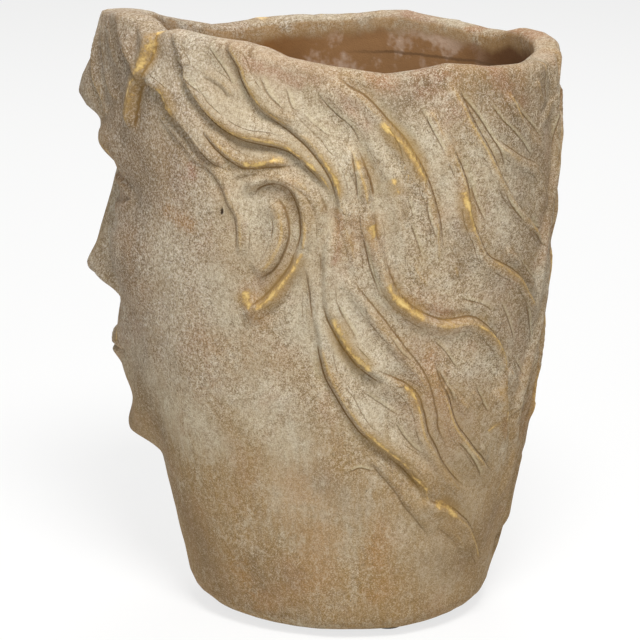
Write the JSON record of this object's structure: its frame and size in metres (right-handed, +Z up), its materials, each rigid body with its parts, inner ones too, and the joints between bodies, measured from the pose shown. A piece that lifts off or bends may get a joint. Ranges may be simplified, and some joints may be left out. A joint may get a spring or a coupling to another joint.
{
  "type": "face planter",
  "caption": "Cast cement planter in the form of a head with swept-back hair, open at the top, with a drain hole, a rubber stopper and rubber foot pads.",
  "frame": {"origin": "middle of the pot's whole width and length, on the surface that the foot pads stand on", "axes": "+Z up, the face looks along -Y, and the head's left ear is on the +X side"},
  "size_m": [0.1974, 0.2618, 0.3135],
  "materials": {
    "cement": "rough cast cement, washed beige and brown with worn gold on the raised edges",
    "plug_rubber": "matte black rubber",
    "pad_rubber": "matte black rubber"
  },
  "bodies": {
    "pot": {"pot_body": "cement", "foot_pad_front": "pad_rubber", "foot_pad_back_left": "pad_rubber", "foot_pad_back_right": "pad_rubber"},
    "plug": {"drain_plug": "plug_rubber"}
  },
  "joints": [
    {"name": "plug_pull", "type": "slide", "parent": "pot", "child": "plug", "axis": [0, 0, 1], "range_m": [0, 0.32]}
  ]
}
